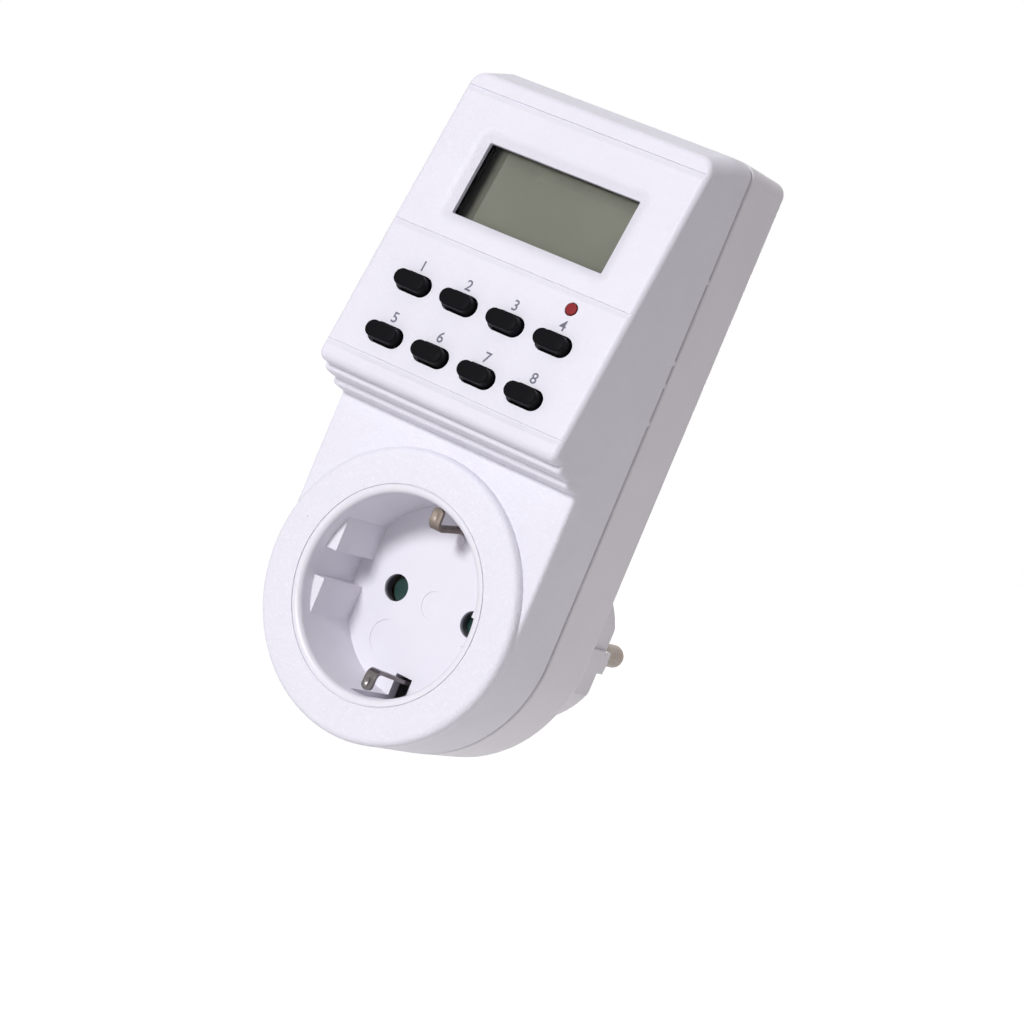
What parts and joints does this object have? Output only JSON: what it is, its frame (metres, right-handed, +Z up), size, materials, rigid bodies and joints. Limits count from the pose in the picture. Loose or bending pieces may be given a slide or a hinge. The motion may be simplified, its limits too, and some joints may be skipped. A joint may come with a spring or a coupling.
{
  "type": "digital plug-in timer",
  "caption": "Digital plug-in timer: tilted panel with display window, soft keys and reset, socket with sprung earth clips in front, two-pin plug behind.",
  "frame": {"origin": "middle of the plug's flat mating face, on the line through the two pins", "axes": "+Y points out of the plug face along the pins, into the wall; +Z runs up the case; +X across; the socket and the panel face -Y"},
  "size_m": [0.057, 0.0878, 0.1289],
  "materials": {
    "case_white": "fine matt, white with a cold tint",
    "cover_grey": "fine matt, off-white",
    "inner_white": "matt",
    "teal": "satin",
    "ivory": "matt",
    "key_black": "satin",
    "red": "satin",
    "clear": "polished",
    "lcd": "smooth",
    "grey_rubber": "matt",
    "board_green": "satin",
    "black_resin": "semi-gloss",
    "steel": "satin",
    "clip_metal": "satin, slightly warm",
    "brass": "drawn",
    "nickel_brass": "nickel plated brass",
    "copper": "varnished copper winding",
    "relay_blue": "semi-gloss",
    "film_yellow": "semi-gloss",
    "can_black": "shrink sleeve",
    "disc_blue": "matt coating",
    "fuse_ceramic": "glazed",
    "resistor_tan": "satin",
    "ribbon_grey": "satin",
    "wire_brown": "satin",
    "wire_blue": "satin",
    "wire_black": "satin"
  },
  "bodies": {
    "case": {"front_shell": "case_white", "rear_cover": "cover_grey", "socket_insert": "inner_white", "contact_carrier": "ivory", "shutter_spring": "steel", "line_contact": "brass", "neutral_contact": "brass", "plug_pin_left": "nickel_brass", "plug_pin_right": "nickel_brass", "pin_retainer": "ivory", "earth_strap_top": "clip_metal", "earth_strap_bottom": "clip_metal", "earth_bridge": "clip_metal", "earth_sleeve": "brass", "display_window": "clear", "lcd_panel": "lcd", "lcd_holder": "inner_white", "connector_strip": "grey_rubber", "key_mat": "grey_rubber", "control_board": "board_green", "timer_chip": "black_resin", "clock_crystal": "steel", "backup_cell": "steel", "cell_tabs": "steel", "power_board": "board_green", "relay_base": "relay_blue", "relay_case": "relay_blue", "relay_coil": "copper", "relay_yoke": "steel", "relay_contact": "brass", "dropper_capacitor": "film_yellow", "filter_capacitor": "can_black", "varistor": "disc_blue", "fuse": "fuse_ceramic", "diodes": "black_resin", "resistors": "resistor_tan", "ribbon_cable": "ribbon_grey", "live_wire": "wire_brown", "neutral_wire": "wire_blue", "neutral_link": "wire_blue", "switched_wire": "wire_black", "small_screws": "steel", "flange_screws": "steel", "retainer_screw": "steel", "cover_screws": "steel"},
    "child_shutter_moving": {"child_shutter": "teal"},
    "relay_armature_moving": {"relay_armature": "steel"},
    "reset_button_moving": {"reset_button": "red"},
    "key_week_moving": {"key_week": "key_black"},
    "key_hour_moving": {"key_hour": "key_black"},
    "key_minute_moving": {"key_minute": "key_black"},
    "key_recall_moving": {"key_recall": "key_black"},
    "key_clock_moving": {"key_clock": "key_black"},
    "key_timer_moving": {"key_timer": "key_black"},
    "key_mode_moving": {"key_mode": "key_black"},
    "key_random_moving": {"key_random": "key_black"}
  },
  "joints": [
    {"name": "key_week_press", "type": "slide", "parent": "case", "child": "key_week_moving", "axis": [0, 0.9789, -0.2045], "range_m": [0, 0.001], "stiffness_N_per_m": 600, "springref_m": -0.0006},
    {"name": "key_hour_press", "type": "slide", "parent": "case", "child": "key_hour_moving", "axis": [0, 0.9789, -0.2045], "range_m": [0, 0.001], "stiffness_N_per_m": 600, "springref_m": -0.0006},
    {"name": "key_minute_press", "type": "slide", "parent": "case", "child": "key_minute_moving", "axis": [0, 0.9789, -0.2045], "range_m": [0, 0.001], "stiffness_N_per_m": 600, "springref_m": -0.0006},
    {"name": "key_recall_press", "type": "slide", "parent": "case", "child": "key_recall_moving", "axis": [0, 0.9789, -0.2045], "range_m": [0, 0.001], "stiffness_N_per_m": 600, "springref_m": -0.0006},
    {"name": "key_clock_press", "type": "slide", "parent": "case", "child": "key_clock_moving", "axis": [0, 0.9789, -0.2045], "range_m": [0, 0.001], "stiffness_N_per_m": 600, "springref_m": -0.0006},
    {"name": "key_timer_press", "type": "slide", "parent": "case", "child": "key_timer_moving", "axis": [0, 0.9789, -0.2045], "range_m": [0, 0.001], "stiffness_N_per_m": 600, "springref_m": -0.0006},
    {"name": "key_mode_press", "type": "slide", "parent": "case", "child": "key_mode_moving", "axis": [0, 0.9789, -0.2045], "range_m": [0, 0.001], "stiffness_N_per_m": 600, "springref_m": -0.0006},
    {"name": "key_random_press", "type": "slide", "parent": "case", "child": "key_random_moving", "axis": [0, 0.9789, -0.2045], "range_m": [0, 0.001], "stiffness_N_per_m": 600, "springref_m": -0.0006},
    {"name": "reset_button_press", "type": "slide", "parent": "case", "child": "reset_button_moving", "axis": [0, 0.9789, -0.2045], "range_m": [0, 0.001], "stiffness_N_per_m": 600, "springref_m": -0.0006},
    {"name": "child_shutter_turn", "type": "hinge", "parent": "case", "child": "child_shutter_moving", "pos_m": [0, -0.0362, 0], "axis": [0, 1, 0], "range_deg": [0, 38], "stiffness_Nm_per_rad": 0.002, "springref_deg": -14.32},
    {"name": "relay_armature_tilt", "type": "hinge", "parent": "case", "child": "relay_armature_moving", "pos_m": [-0.0069, -0.0423, 0.0485], "axis": [0, 0, 1], "range_deg": [0, 2.8], "stiffness_Nm_per_rad": 0.02, "springref_deg": -8.59}
  ]
}
